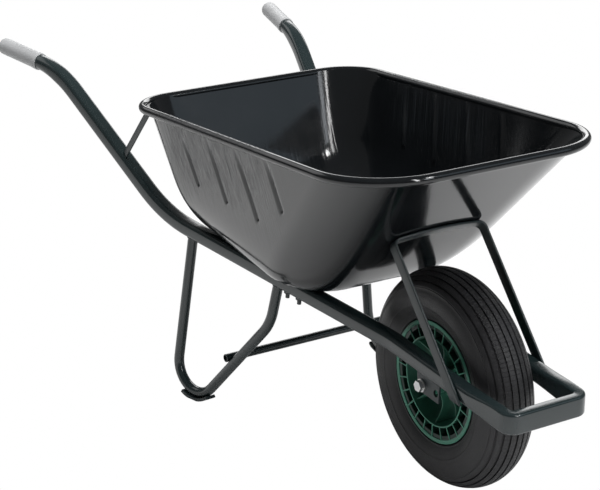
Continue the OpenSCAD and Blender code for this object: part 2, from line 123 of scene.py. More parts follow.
def wrapped_sheet(name, columns, rows, place, cap_ends=False, angle=35):
    """A grid of faces laid on a shape: place(column, row) gives each point in millimetres."""
    deselect()
    bpy.ops.mesh.primitive_grid_add(x_subdivisions=columns, y_subdivisions=rows, size=1)
    piece = bpy.context.object
    piece.name = name
    piece.data.name = name
    for k, vertex in enumerate(piece.data.vertices):
        row, column = divmod(k, columns + 1)
        vertex.co = Vector(place(column, row)) * MM
    close_up(piece, cap_ends)
    smooth(piece, angle)
    return piece


def lathe(name, profile, steps, angle=35, centre=None):
    """Turns a closed profile of (radius, width) points about the axle."""
    middle = centre or AXLE

    def place(column, row):
        radius, width = profile[column % len(profile)]
        turn = 2 * math.pi * row / steps
        return middle + Vector((radius * math.cos(turn), -width, radius * math.sin(turn)))

    return wrapped_sheet(name, len(profile), steps, place, angle=angle)


def rounded_section(width, height, radius, per_corner=5):
    """Outline of a bar or tube: a box with rounded corners."""
    points = []
    for quarter, (sx, sy) in enumerate(((1, 1), (-1, 1), (-1, -1), (1, -1))):
        for k in range(per_corner + 1):
            turn = math.pi / 2 * (quarter + k / per_corner)
            points.append((sx * (width / 2 - radius) + radius * math.cos(turn),
                           sy * (height / 2 - radius) + radius * math.sin(turn)))
    return points


def swept(name, path, sections, up, angle=35):
    """Sweeps a section along a path; sections is one outline, or one for each point."""
    one_for_each = isinstance(sections[0], list)
    count = len(sections[0]) if one_for_each else len(sections)
    last = len(path) - 1
    rings = []
    for i, point in enumerate(path):
        ahead = (path[min(i + 1, last)] - path[max(i - 1, 0)]).normalized()
        across = ahead.cross(up).normalized()
        lift = across.cross(ahead)
        section = sections[i] if one_for_each else sections
        rings.append([point + across * u + lift * v for u, v in section])
    return wrapped_sheet(name, count, last, lambda column, row: rings[row][column % count],
                         cap_ends=True, angle=angle)


def bend_points(before, corner, after, radius, steps):
    """Points of a round bend at a corner."""
    ahead = (corner - before).normalized()
    leaving = (after - corner).normalized()
    turn = ahead.angle(leaving)
    trim = radius * math.tan(turn / 2)
    start = corner - ahead * trim
    centre = corner + (leaving - ahead).normalized() * radius / math.cos(turn / 2)
    return [centre + (start - centre) * math.cos(turn * k / steps)
            + ahead * radius * math.sin(turn * k / steps) for k in range(steps + 1)]


def bent_path(corners, radii, spacing=20.0, steps=14):
    """A path through corners with round bends, with points along its straights too."""
    points = [corners[0]]
    for i in range(1, len(corners) - 1):
        points += bend_points(corners[i - 1], corners[i], corners[i + 1], radii[i], steps)
    points.append(corners[-1])
    path = [points[0]]
    for point in points[1:]:
        gap = (point - path[-1]).length
        pieces = max(1, math.ceil(gap / spacing))
        start = path[-1]
        path += [start.lerp(point, k / pieces) for k in range(1, pieces + 1)]
    return path


def mirrored(piece, name):
    """A copy on the other side of the barrow, with its own mesh."""
    deselect()
    copy = piece.copy()
    copy.data = piece.data.copy()
    bpy.context.scene.collection.objects.link(copy)
    copy.name = name
    copy.data.name = name
    copy.data.transform(Matrix.Scale(-1, 4, (0, 1, 0)))
    edit(copy)
    bpy.ops.mesh.flip_normals()
    leave_edit()
    return copy


def joined(name, pieces):
    deselect()
    for piece in pieces:
        piece.select_set(True)
    bpy.context.view_layer.objects.active = pieces[0]
    bpy.ops.object.join()
    pieces[0].name = name
    pieces[0].data.name = name
    return pieces[0]


# --- Materials -------------------------------------------------------------------------------


def group(name, inputs, outputs):
    """A new shader node group with named sockets; returns the tree and its two end nodes."""
    tree = bpy.data.node_groups.new(name, "ShaderNodeTree")
    for socket, kind, value in inputs:
        made = tree.interface.new_socket(name=socket, in_out="INPUT", socket_type=kind)
        if value is not None:
            made.default_value = value
    for socket, kind in outputs:
        tree.interface.new_socket(name=socket, in_out="OUTPUT", socket_type=kind)
    return tree, tree.nodes.new("NodeGroupInput"), tree.nodes.new("NodeGroupOutput")


def add(tree, kind, links=None, **settings):
    """Adds a node; settings are its properties, links are values or sockets for its inputs."""
    node = tree.nodes.new(kind)
    for key, value in settings.items():
        setattr(node, key, value)
    for key, value in (links or {}).items():
        if isinstance(value, bpy.types.NodeSocket):
            tree.links.new(value, node.inputs[key])
        else:
            node.inputs[key].default_value = value
    return node


FLOAT = "NodeSocketFloat"
COLOUR = "NodeSocketColor"
# Sockets of a Mix node that mixes colours.
MIX_A = 6
MIX_B = 7
MIX_RESULT = 2


def build_mottle_group():
    """Two sizes of soft cloud mixed into a colour, with a matching roughness."""
    tree, start, end = group(
        "Soft mottle",
        [("Colour", COLOUR, None), ("Second colour", COLOUR, None), ("Amount", FLOAT, 0.5),
         ("Cloud size", FLOAT, 12.0), ("Roughness", FLOAT, 0.2), ("Roughness spread", FLOAT, 0.05)],
        [("Colour", COLOUR), ("Roughness", FLOAT)])
    place = add(tree, "ShaderNodeTexCoord")
    clouds = add(tree, "ShaderNodeTexNoise",
                 {"Vector": place.outputs["Object"], "Scale": start.outputs["Cloud size"],
                  "Detail": 5.0, "Roughness": 0.6})
    mask = add(tree, "ShaderNodeMapRange",
               {"Value": clouds.outputs["Fac"], "From Min": 0.35, "From Max": 0.68})
    share = add(tree, "ShaderNodeMath", {0: mask.outputs["Result"], 1: start.outputs["Amount"]},
                operation="MULTIPLY")
    mixed = add(tree, "ShaderNodeMix", {"Factor": share.outputs[0]}, data_type="RGBA")
    tree.links.new(start.outputs["Colour"], mixed.inputs[MIX_A])
    tree.links.new(start.outputs["Second colour"], mixed.inputs[MIX_B])
    spread = add(tree, "ShaderNodeMath",
                 {0: mask.outputs["Result"], 1: start.outputs["Roughness spread"],
                  2: start.outputs["Roughness"]}, operation="MULTIPLY_ADD")
    tree.links.new(mixed.outputs[MIX_RESULT], end.inputs["Colour"])
    tree.links.new(spread.outputs[0], end.inputs["Roughness"])
    return tree


def build_peel_group():
    """The fine waviness of sprayed and stoved enamel, with a few dust nibs."""
    tree, start, end = group(
        "Enamel peel",
        [("Peel size", FLOAT, 350.0), ("Peel height", FLOAT, 0.05), ("Nib height", FLOAT, 0.1)],
        [("Height", FLOAT)])
    place = add(tree, "ShaderNodeTexCoord")
    peel = add(tree, "ShaderNodeTexNoise",
               {"Vector": place.outputs["Object"], "Scale": start.outputs["Peel size"],
                "Detail": 2.0, "Roughness": 0.5})
    dust = add(tree, "ShaderNodeTexVoronoi",
               {"Vector": place.outputs["Object"], "Scale": 90.0}, feature="F1")
    nib = add(tree, "ShaderNodeMapRange",
              {"Value": dust.outputs["Distance"], "From Min": 0.0, "From Max": 0.07,
               "To Min": 1.0, "To Max": 0.0})
    waves = add(tree, "ShaderNodeMath",
                {0: peel.outputs["Fac"], 1: start.outputs["Peel height"]}, operation="MULTIPLY")
    total = add(tree, "ShaderNodeMath",
                {0: nib.outputs["Result"], 1: start.outputs["Nib height"], 2: waves.outputs[0]},
                operation="MULTIPLY_ADD")
    tree.links.new(total.outputs[0], end.inputs["Height"])
    return tree


MOTTLE = build_mottle_group()
PEEL = build_peel_group()


def new_material(name):
    material = bpy.data.materials.new(name)
    material.use_nodes = True
    tree = material.node_tree
    tree.nodes.clear()
    shader = add(tree, "ShaderNodeBsdfPrincipled")
    surface = add(tree, "ShaderNodeOutputMaterial")
    tree.links.new(shader.outputs["BSDF"], surface.inputs["Surface"])
    return material, tree, shader


def use_group(tree, shared, values):
    node = add(tree, "ShaderNodeGroup", node_tree=shared)
    for key, value in values.items():
        node.inputs[key].default_value = value
    return node


def bump(tree, shader, height, distance):
    made = add(tree, "ShaderNodeBump", {"Height": height, "Distance": distance, "Strength": 1.0})
    tree.links.new(made.outputs["Normal"], shader.inputs["Normal"])


def enamel(name, colour, second, roughness, peel_height, coat):
    """Glossy stoved enamel over steel."""
    material, tree, shader = new_material(name)
    mottle = use_group(tree, MOTTLE, {"Colour": colour, "Second colour": second, "Amount": 0.6,
                                      "Cloud size": 9.0, "Roughness": roughness,
                                      "Roughness spread": 0.06})
    peel = use_group(tree, PEEL, {"Peel size": 260.0, "Peel height": peel_height,
                                  "Nib height": 0.02})
    tree.links.new(mottle.outputs["Colour"], shader.inputs["Base Color"])
    tree.links.new(mottle.outputs["Roughness"], shader.inputs["Roughness"])
    shader.inputs["IOR"].default_value = 1.55
    shader.inputs["Coat Weight"].default_value = coat
    shader.inputs["Coat Roughness"].default_value = 0.08
    bump(tree, shader, peel.outputs["Height"], 0.001)
    return material


FRAME_PAINT = enamel("frame_enamel", (0.0125, 0.0205, 0.0215, 1), (0.018, 0.028, 0.03, 1),
                     0.17, 0.03, 0.2)
FLAT_BAR_PAINT = enamel("flat_bar_enamel", (0.0115, 0.019, 0.0205, 1), (0.017, 0.027, 0.029, 1),
                        0.36, 0.02, 0.0)


def tray_enamel(name):
    """Black tray enamel, with the fine upright marks that deep drawing leaves on the side walls, and a
    painted sheen on the strongest of them.
    """
    material, tree, shader = new_material(name)
    mottle = use_group(tree, MOTTLE, {"Colour": (0.0045, 0.0054, 0.0062, 1),
                                      "Second colour": (0.0075, 0.009, 0.0105, 1), "Amount": 0.6,
                                      "Cloud size": 7.0, "Roughness": 0.08,
                                      "Roughness spread": 0.07})
    peel = use_group(tree, PEEL, {"Peel size": 220.0, "Peel height": 0.1, "Nib height": 0.03})
    place = add(tree, "ShaderNodeTexCoord")
    split = add(tree, "ShaderNodeSeparateXYZ", {"Vector": place.outputs["Object"]})
    # Marks run down the wall, so they vary along the tray and hardly at all with height.
    lean = add(tree, "ShaderNodeMath", {0: split.outputs["Z"], 1: 0.22, 2: split.outputs["X"]},
               operation="MULTIPLY_ADD")
    squeeze = add(tree, "ShaderNodeMath", {0: split.outputs["Z"], 1: 0.02}, operation="MULTIPLY")
    flat = add(tree, "ShaderNodeCombineXYZ", {"X": lean.outputs[0], "Z": squeeze.outputs[0]})
    marks = add(tree, "ShaderNodeTexNoise", {"Vector": flat.outputs["Vector"], "Scale": 420.0,
                                             "Detail": 2.0, "Roughness": 0.55})
    wall = add(tree, "ShaderNodeMapRange", {"Value": split.outputs["Y"], "From Min": -0.215,
                                            "From Max": -0.235})
    other_wall = add(tree, "ShaderNodeMapRange", {"Value": split.outputs["Y"], "From Min": 0.215,
                                                  "From Max": 0.235})
    both = add(tree, "ShaderNodeMath", {0: wall.outputs["Result"], 1: other_wall.outputs["Result"]},
               operation="ADD")
    front = add(tree, "ShaderNodeMapRange", {"Value": split.outputs["X"], "From Min": 0.3,
                                             "From Max": 0.2})
    rear = add(tree, "ShaderNodeMapRange", {"Value": split.outputs["X"], "From Min": -0.17,
                                            "From Max": -0.1})
    along = add(tree, "ShaderNodeMath", {0: front.outputs["Result"], 1: rear.outputs["Result"]},
                operation="MULTIPLY")
    high = add(tree, "ShaderNodeMapRange", {"Value": split.outputs["Z"], "From Min": 0.33,
                                            "From Max": 0.5})
    where = add(tree, "ShaderNodeMath", {0: both.outputs[0], 1: along.outputs[0]},
                operation="MULTIPLY")
    where = add(tree, "ShaderNodeMath", {0: where.outputs[0], 1: high.outputs["Result"]},
                operation="MULTIPLY")
    pleats = add(tree, "ShaderNodeMath", {0: marks.outputs["Fac"], 1: where.outputs[0]},
                 operation="MULTIPLY")
    # The rear wall carries the same marks side by side across the barrow.
    rear_flat = add(tree, "ShaderNodeCombineXYZ", {"Y": split.outputs["Y"],
                                                   "Z": squeeze.outputs[0]})
    rear_marks = add(tree, "ShaderNodeTexNoise", {"Vector": rear_flat.outputs["Vector"],
                                                  "Scale": 150.0, "Detail": 2.0})
    rear_wall = add(tree, "ShaderNodeMapRange", {"Value": split.outputs["X"], "From Min": -0.15,
                                                 "From Max": -0.2})
    low = add(tree, "ShaderNodeMapRange", {"Value": split.outputs["Z"], "From Min": 0.56,
                                           "From Max": 0.42, "To Max": 0.45})
    rear_share = add(tree, "ShaderNodeMath",
                     {0: low.outputs["Result"], 1: rear_wall.outputs["Result"]},
                     operation="MULTIPLY")
    rear_pleats = add(tree, "ShaderNodeMath",
                      {0: rear_marks.outputs["Fac"], 1: rear_share.outputs[0],
                       2: pleats.outputs[0]}, operation="MULTIPLY_ADD")
    total = add(tree, "ShaderNodeMath",
                {0: rear_pleats.outputs[0], 1: 1.1, 2: peel.outputs["Height"]},
                operation="MULTIPLY_ADD")
    # The strongest marks are lightened to a blue grey: a painted sheen along the pleats.
    sheen_ridges = add(tree, "ShaderNodeMapRange", {"Value": rear_pleats.outputs[0], "From Min": 0.5,
                                              "From Max": 0.75})
    painted_sheen = add(tree, "ShaderNodeMix", {"Factor": sheen_ridges.outputs["Result"]}, data_type="RGBA")
    tree.links.new(mottle.outputs["Colour"], painted_sheen.inputs[MIX_A])
    painted_sheen.inputs[MIX_B].default_value = (0.022, 0.026, 0.03, 1)
    tree.links.new(painted_sheen.outputs[MIX_RESULT], shader.inputs["Base Color"])
    tree.links.new(mottle.outputs["Roughness"], shader.inputs["Roughness"])
    shader.inputs["IOR"].default_value = 1.55
    shader.inputs["Coat Weight"].default_value = 0.15
    shader.inputs["Coat Roughness"].default_value = 0.06
    bump(tree, shader, total.outputs[0], 0.001)
    return material


TRAY_PAINT = tray_enamel("tray_enamel")


def moulded(name, colour, second, roughness, spread, grain, height, ior=1.47):
    """Moulded plastic or rubber with a fine grain and slight cloudiness."""
    material, tree, shader = new_material(name)
    mottle = use_group(tree, MOTTLE, {"Colour": colour, "Second colour": second, "Amount": 0.8,
                                      "Cloud size": 16.0, "Roughness": roughness,
                                      "Roughness spread": spread})
    place = add(tree, "ShaderNodeTexCoord")
    fine = add(tree, "ShaderNodeTexNoise", {"Vector": place.outputs["Object"], "Scale": grain,
                                            "Detail": 4.0, "Roughness": 0.65})
    tree.links.new(mottle.outputs["Colour"], shader.inputs["Base Color"])
    tree.links.new(mottle.outputs["Roughness"], shader.inputs["Roughness"])
    shader.inputs["IOR"].default_value = ior
    bump(tree, shader, fine.outputs["Fac"], height)
    return material


RUBBER = moulded("tyre_rubber", (0.0125, 0.0125, 0.0135, 1), (0.023, 0.0225, 0.025, 1),
                 0.38, 0.2, 700.0, 0.0006, 1.5)
GREEN_PLASTIC = moulded("rim_green_plastic", (0.052, 0.225, 0.15, 1), (0.07, 0.27, 0.185, 1),
                        0.33, 0.1, 700.0, 0.0001)


def from_axle(tree):
    """A point's place from the axle, split into X, Y and Z."""
    place = add(tree, "ShaderNodeTexCoord")
    shift = add(tree, "ShaderNodeVectorMath", {0: place.outputs["Object"], 1: AXLE * MM},
                operation="SUBTRACT")
    return add(tree, "ShaderNodeSeparateXYZ", {"Vector": shift.outputs["Vector"]})


def axle_radius(tree, split):
    flat = add(tree, "ShaderNodeCombineXYZ", {"X": split.outputs["X"], "Z": split.outputs["Z"]})
    radius = add(tree, "ShaderNodeVectorMath", {0: flat.outputs["Vector"]}, operation="LENGTH")
    return radius.outputs["Value"]


def build_recess_shade_group():
    """Painted shade for the depths of the rim: 1 on its outer face, falling away inside the cells and
    over the hub.
    """
    tree, start, end = group("Rim recess painted shade", [("Cell shade", FLOAT, 0.12), ("Hub shade", FLOAT, 0.4)],
                             [("Shade", FLOAT)])
    split = from_axle(tree)
    radius = axle_radius(tree, split)
    depth = add(tree, "ShaderNodeMath", {0: split.outputs["Y"]}, operation="ABSOLUTE")
    face = add(tree, "ShaderNodeMapRange", {"Value": depth.outputs[0], "From Min": 0.0398,
                                            "From Max": 0.0407})
    zone = add(tree, "ShaderNodeMapRange",
               {"Value": radius, "From Min": 0.078, "From Max": 0.082,
                "To Min": start.outputs["Hub shade"], "To Max": start.outputs["Cell shade"]})
    shade = add(tree, "ShaderNodeMapRange", {"Value": face.outputs["Result"], "To Max": 1.0,
                                             "To Min": zone.outputs["Result"]})
    tree.links.new(shade.outputs["Result"], end.inputs["Shade"])
    return tree


def paint_recess_shade(material):
    """Paints shade into a wheel plastic's colour down inside its cells and over the hub, where the
    depths fall into shadow.
    """
    tree = material.node_tree
    shader = next(n for n in tree.nodes if n.type == "BSDF_PRINCIPLED")
    colour = shader.inputs["Base Color"].links[0].from_socket
    # The near-black colour mixed in here is painted shade, in the cells and round the hub.
    recess = use_group(tree, build_recess_shade_group(), {"Cell shade": 0.1, "Hub shade": 0.65})
    painted_shade_mix = add(tree, "ShaderNodeMix", {"Factor": recess.outputs["Shade"]}, data_type="RGBA")
    painted_shade_mix.inputs[MIX_A].default_value = (0.002, 0.004, 0.004, 1)
    tree.links.new(colour, painted_shade_mix.inputs[MIX_B])
    tree.links.new(painted_shade_mix.outputs[MIX_RESULT], shader.inputs["Base Color"])


paint_recess_shade(GREEN_PLASTIC)


def ridge_tread(material):
    """Fine crosswise cuts on the tread ribs."""
    tree = material.node_tree
    bump_node = next(n for n in tree.nodes if n.type == "BUMP")
    grain = bump_node.inputs["Height"].links[0].from_socket
    split = from_axle(tree)
    radius = axle_radius(tree, split)
    turn = add(tree, "ShaderNodeMath", {0: split.outputs["Z"], 1: split.outputs["X"]},
               operation="ARCTAN2")
    waves = add(tree, "ShaderNodeMath", {0: turn.outputs[0], 1: 150.0}, operation="MULTIPLY")
    cuts = add(tree, "ShaderNodeMath", {0: waves.outputs[0]}, operation="SINE")
    sharp = add(tree, "ShaderNodeMapRange", {"Value": cuts.outputs[0], "From Min": 0.55,
                                             "From Max": 0.9})
    tread = add(tree, "ShaderNodeMapRange", {"Value": radius, "From Min": 0.186,
                                             "From Max": 0.19})
    cut = add(tree, "ShaderNodeMath", {0: sharp.outputs["Result"], 1: tread.outputs["Result"]},
              operation="MULTIPLY")
    total = add(tree, "ShaderNodeMath", {0: cut.outputs[0], 1: -1.2, 2: grain},
                operation="MULTIPLY_ADD")
    tree.links.new(total.outputs[0], bump_node.inputs["Height"])


ridge_tread(RUBBER)

GRIP_PLASTIC = moulded("grip_plastic", (0.35, 0.355, 0.36, 1), (0.4, 0.405, 0.41, 1),
                       0.42, 0.12, 1200.0, 0.0001)
BLACK_PLASTIC = moulded("bush_black_plastic", (0.012, 0.012, 0.012, 1), (0.02, 0.02, 0.02, 1),
                        0.45, 0.1, 900.0, 0.0001)


def zinc_plate(name):
    """Bright zinc with fine turning lines and a faint blue and straw cast."""
    material, tree, shader = new_material(name)
    mottle = use_group(tree, MOTTLE, {"Colour": (0.62, 0.64, 0.67, 1),
                                      "Second colour": (0.7, 0.69, 0.63, 1), "Amount": 0.7,
                                      "Cloud size": 60.0, "Roughness": 0.24,
                                      "Roughness spread": 0.14})
    place = add(tree, "ShaderNodeTexCoord")
    lines = add(tree, "ShaderNodeTexNoise", {"Vector": place.outputs["Object"], "Scale": 1400.0,
                                             "Detail": 3.0})
    tree.links.new(mottle.outputs["Colour"], shader.inputs["Base Color"])
    tree.links.new(mottle.outputs["Roughness"], shader.inputs["Roughness"])
    shader.inputs["Metallic"].default_value = 1.0
    bump(tree, shader, lines.outputs["Fac"], 0.0001)
    return material


ZINC = zinc_plate("zinc_plate")


def dress(piece, material, body):
    piece.data.materials.clear()
    piece.data.materials.append(material)
    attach(piece, body)
    return piece


# --- Frame tube ------------------------------------------------------------------------------
TUBE_D = 30.0
GRIP_HALF_SPAN = 326.0
KNEE_HALF_SPAN = 81.6
BOW_HALF_SPAN = 76.7
GRIP_Z = 598.0
KNEE_Z = 263.5
BOW_Z = 233.0
BOW_FLAT_T = 22.0
BOW_FLAT_H = 38.0
TUBE_CORNER_R = 8.5
BOW_CORNER_R = 5.0
TUBE_END_CORNER_R = 13.0
# Bend radii on the left half, from the grip to the bow.
TUBE_BENDS = [0, 229, 291, 200, 16]
# The tube flattens over this run, which starts this far behind the bow.
FLATTEN_BACK = 110.0
FLATTEN_RUN = 80.0
# It is rounder up to this far ahead of the grips, and changes over this run.
ROUND_AHEAD = 60.0
ROUND_RUN = 50.0
KNEE_X = AXLE.x - 70
UPPER_RUN = 190.0
UPPER_DROP = 19.0
HANDLE_RUN = 327.0
HANDLE_FOOT_Z = 347.0

GRIP_POINT_X = GRIP_END_X + 2.6
SIDE_YAW = math.atan2(GRIP_HALF_SPAN - KNEE_HALF_SPAN, KNEE_X - GRIP_POINT_X)
GRIP_S = (KNEE_X - GRIP_POINT_X) / math.cos(SIDE_YAW)
UPPER_S = GRIP_S - UPPER_RUN
LOWER_S = UPPER_S - HANDLE_RUN
RAIL_PITCH = math.atan2(HANDLE_FOOT_Z - KNEE_Z, LOWER_S)
GRIP_PITCH = math.atan2(UPPER_DROP, UPPER_RUN)
BOW_X = BOW_FRONT - BOW_FLAT_T / 2
UP = Vector((0, 0, 1))


def side_point(along, height, side=1):
    """A point over the line of one handle and rail, measured back from the knee."""
    return Vector((KNEE_X - along * math.cos(SIDE_YAW),
                   side * (KNEE_HALF_SPAN + along * math.sin(SIDE_YAW)), height))


def rail_half_y(x):
    return KNEE_HALF_SPAN + (KNEE_X - x) * math.tan(SIDE_YAW)


def rail_z(x):
    return KNEE_Z + (KNEE_X - x) / math.cos(SIDE_YAW) * math.tan(RAIL_PITCH)


def frame_corners():
    left = [side_point(GRIP_S - 5, GRIP_Z - 5 * math.tan(GRIP_PITCH)),
            side_point(UPPER_S, GRIP_Z - UPPER_DROP), side_point(LOWER_S, HANDLE_FOOT_Z),
            Vector((KNEE_X, KNEE_HALF_SPAN, KNEE_Z)), Vector((BOW_X, BOW_HALF_SPAN, BOW_Z))]
    return left + [Vector((p.x, -p.y, p.z)) for p in reversed(left)]


def make_frame_tube():
    path = bent_path(frame_corners(), TUBE_BENDS + TUBE_BENDS[::-1], spacing=12, steps=16)
    sections = []
    for point in path:
        flat = min(1, max(0, (point.x - (BOW_X - FLATTEN_BACK)) / FLATTEN_RUN))
        flat = flat * flat * (3 - 2 * flat)
        # The flat-sided tube is rounder where it runs into the grips.
        round_off = min(1, max(0, (GRIP_HIGH.x + ROUND_AHEAD - point.x) / ROUND_RUN))
        corner_r = (TUBE_CORNER_R + flat * (BOW_CORNER_R - TUBE_CORNER_R)
                    + round_off * (TUBE_END_CORNER_R - TUBE_CORNER_R))
        sections.append(rounded_section(TUBE_D + flat * (BOW_FLAT_T - TUBE_D),
                                        TUBE_D + flat * (BOW_FLAT_H - TUBE_D), corner_r, 6))
    piece = swept("frame_tube_bent", path, sections, UP, angle=60)
    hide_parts("frame_tube")
    return dress(piece, FRAME_PAINT, "barrow")


make_frame_tube()

# --- Legs, shoes and cross tube --------------------------------------------------------------
LEG_D = 20.0
LEG_REAR_X = -151.0
LEG_SPLAY = math.radians(5.7)
LEG_TOP = TUBE_D / 2 - 2
LEG_CORNERS = [(18.5, -LEG_TOP), (41.5, -436), (257, -97), (259.5, -LEG_TOP)]
FOOT_BEND = 55.0
LEG_KNEE_BEND = 100.0
LEG_CORNER_R = 9.9
WELD_STEPS = 44
WELD_SIDES = 8
WELD_THICK = 1.9
WELD_DROP = 2.2
LEG_PLANE = (Matrix.Translation((LEG_REAR_X, -rail_half_y(LEG_REAR_X), rail_z(LEG_REAR_X)))
             @ Matrix.Rotation(SIDE_YAW, 4, "Z") @ Matrix.Rotation(RAIL_PITCH, 4, "Y")
             @ Matrix.Rotation(math.pi / 2 - LEG_SPLAY, 4, "X"))


def make_legs():
    corners = [LEG_PLANE @ Vector((x, y, 0)) for x, y in LEG_CORNERS]
    path = bent_path(corners, [0, FOOT_BEND, LEG_KNEE_BEND, 0], spacing=15, steps=20)
    up = LEG_PLANE.to_3x3() @ Vector((0, 0, 1))
    right = swept("right_leg_loop", path, rounded_section(LEG_D, LEG_D, LEG_CORNER_R, 7), up, angle=60)
    left = mirrored(right, "left_leg_loop")
    for piece, node in ((right, "right_leg"), (left, "left_leg")):
        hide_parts(node)
        dress(piece, FRAME_PAINT, "barrow")


make_legs()


def weld_bead(name, centre, along, across, half_long, half_wide, thick, seed):
    """A lumpy ring of weld round a joint."""
    normal = along.cross(across).normalized()

    def place(column, row):
        turn = 2 * math.pi * row / WELD_STEPS
        roll = 2 * math.pi * column / WELD_SIDES
        out = along * math.cos(turn) * half_long + across * math.sin(turn) * half_wide
        lump = 1 + 0.25 * noise.noise(Vector((row * 0.9, seed, 0)))
        return (centre + out + out.normalized() * thick * lump * math.cos(roll)
                + normal * thick * lump * math.sin(roll))

    return wrapped_sheet(name, WELD_SIDES, WELD_STEPS, place, angle=60)


def leg_welds():
    beads = []
    for k, index in enumerate((0, 3)):
        top = LEG_PLANE @ Vector((*LEG_CORNERS[index], 0))
        along = LEG_PLANE.to_3x3() @ Vector((1, 0, 0))
        across = LEG_PLANE.to_3x3() @ Vector((0, 0, 1))
        down = LEG_PLANE.to_3x3() @ Vector((0, -1, 0))
        beads.append(weld_bead(f"leg_weld_{k}", top + down * WELD_DROP, along, across,
                               LEG_D / 2 + 0.2, LEG_D / 2 - 0.6, WELD_THICK, k + 0.5))
    right = joined("right_leg_welds", beads)
    left = mirrored(right, "left_leg_welds")
    for piece in (right, left):
        dress(piece, FRAME_PAINT, "barrow")


leg_welds()


CROSS_WALL = 1.5
CROSS_CHAMFER = 0.5


def make_cross_tube():
    centre = (CROSS_LOW + CROSS_HIGH) / 2
    half = (CROSS_HIGH.y - CROSS_LOW.y) / 2
    outer = (CROSS_HIGH.x - CROSS_LOW.x) / 2
    inner = outer - CROSS_WALL
    edge = CROSS_CHAMFER
    profile = [(outer - edge, -half), (outer, -half + edge), (outer, half - edge),
               (outer - edge, half), (inner, half), (inner, -half)]
    piece = lathe("leg_cross_pipe", profile, 40, 30, centre)
    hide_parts("leg_cross_tube")
    return dress(piece, FRAME_PAINT, "barrow")


make_cross_tube()

# --- Front brace -----------------------------------------------------------------------------
BRACE_W = 22.0
BRACE_T = 5.0
BRACE_TOP = Vector((AXLE.x - 55, 0, 455))
BRACE_FOOT = Vector((AXLE.x + 130, 0, 240))
BRACE_HALF_Y = BRACE_HIGH.y - BRACE_T / 2
BRACE_RISE = 11.0
BRACE_BEND_R = 11.0
BRACE_BOW_STOP = 6.0
# Spare length on each foot, cut off again along the rails.
BRACE_SPARE = 24.0
TRAY_FRONT_SLOPE = Vector((0.67, 0, 0.74))


def make_brace():
    down = (BRACE_FOOT - BRACE_TOP).normalized()
    facing = Vector((-down.z, 0, down.x))
    foot = BRACE_FOOT + down * BRACE_SPARE
    side = Vector((0, BRACE_HALF_Y, 0))
    corners = [foot - side, BRACE_TOP - side, BRACE_TOP + side, foot + side]
    path = bent_path(corners, [0, BRACE_BEND_R, BRACE_BEND_R, 0], spacing=12, steps=8)
    # The cross bar bows upwards between its bends, along the slope of the tray's front.
    path = [p + TRAY_FRONT_SLOPE * BRACE_RISE * max(0, 1 - (p.y / (BRACE_HALF_Y - BRACE_BOW_STOP)) ** 2)
            for p in path]
    section = rounded_section(BRACE_T, BRACE_W, 1.9, 4)
    piece = swept("front_brace_bar", path, section, facing, angle=40)
    # The feet are cut along the underside of the rails.
    pitch = math.atan2(KNEE_Z - BOW_Z, BOW_X - KNEE_X)
    under = Vector((BOW_X, 0, BOW_Z)) - Vector((math.sin(pitch), 0, math.cos(pitch))) * TUBE_D / 2
    edit(piece)
    bpy.ops.mesh.bisect(plane_co=under * MM, plane_no=(math.sin(pitch), 0, math.cos(pitch)),
                        clear_inner=True, use_fill=True)
    leave_edit()
    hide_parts("front_brace")
    return dress(piece, FLAT_BAR_PAINT, "barrow")


make_brace()

# --- Rear straps -----------------------------------------------------------------------------
STRAP_FOOT = Vector((-323, -245, 447))
STRAP_TOP = Vector((-216, -245, 562))
STRAP_T = 4.0
STRAP_W = 13.4
STRAP_BEND = 400.0
STRAP_FACING = Vector((-0.7, 0, 0.7))


def make_straps():
    path = bent_path([STRAP_FOOT, STRAP_FOOT.lerp(STRAP_TOP, 0.5), STRAP_TOP],
                     [0, STRAP_BEND, 0], spacing=15, steps=4)
    right = swept("right_rear_strap", path, rounded_section(STRAP_T, STRAP_W, 1.0, 3),
                  STRAP_FACING, angle=40)
    left = mirrored(right, "left_rear_strap")
    for piece, node in ((right, "right_tray_strap"), (left, "left_tray_strap")):
        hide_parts(node)
        dress(piece, FLAT_BAR_PAINT, "barrow")


make_straps()

# --- Tray ------------------------------------------------------------------------------------
BEAD_R = 8.5
RIM_REAR_X = AXLE.x - 716
RIM_FRONT_X = AXLE.x + 104
RIM_REAR_Z = 578.0
RIM_FRONT_Z = TRAY_HIGH.z
MOUTH_HALF_W = 265.0
TRAY_T = 1.6
FLOOR_INSET = 30.0
BEAD_SIDES = 24
# Number of points on each corner, each side, and the front and rear of the tray.
CORNER_N = 16
SIDE_N = 150
END_N = 24


def rim_z(x):
    share = (x - RIM_REAR_X) / (RIM_FRONT_X - RIM_REAR_X)
    return RIM_REAR_Z + share * (RIM_FRONT_Z - RIM_REAR_Z)


def floor_z(x):
    return rail_z(x) + TUBE_D / 2 / math.cos(RAIL_PITCH) + 0.3


def outline(x0, x1, half_w, rear_r, front_r):
    """Points round a box with rounded corners, from the rear right corner by way of the front."""
    corners = [(x0 + rear_r, -half_w + rear_r, rear_r, 180),
               (x1 - front_r, -half_w + front_r, front_r, 270),
               (x1 - front_r, half_w - front_r, front_r, 0),
               (x0 + rear_r, half_w - rear_r, rear_r, 90)]
    arcs = []
    for cx, cy, radius, start in corners:
        arcs.append([(cx + radius * math.cos(math.radians(start + 90 * k / CORNER_N)),
                      cy + radius * math.sin(math.radians(start + 90 * k / CORNER_N)))
                     for k in range(CORNER_N + 1)])
    points = []
    for i, arc in enumerate(arcs):
        after = arcs[(i + 1) % 4][0]
        count = SIDE_N if i % 2 == 0 else END_N
        points += arc
        ax, ay = arc[-1]
        points += [(ax + (after[0] - ax) * k / count, ay + (after[1] - ay) * k / count)
                   for k in range(1, count)]
    return points


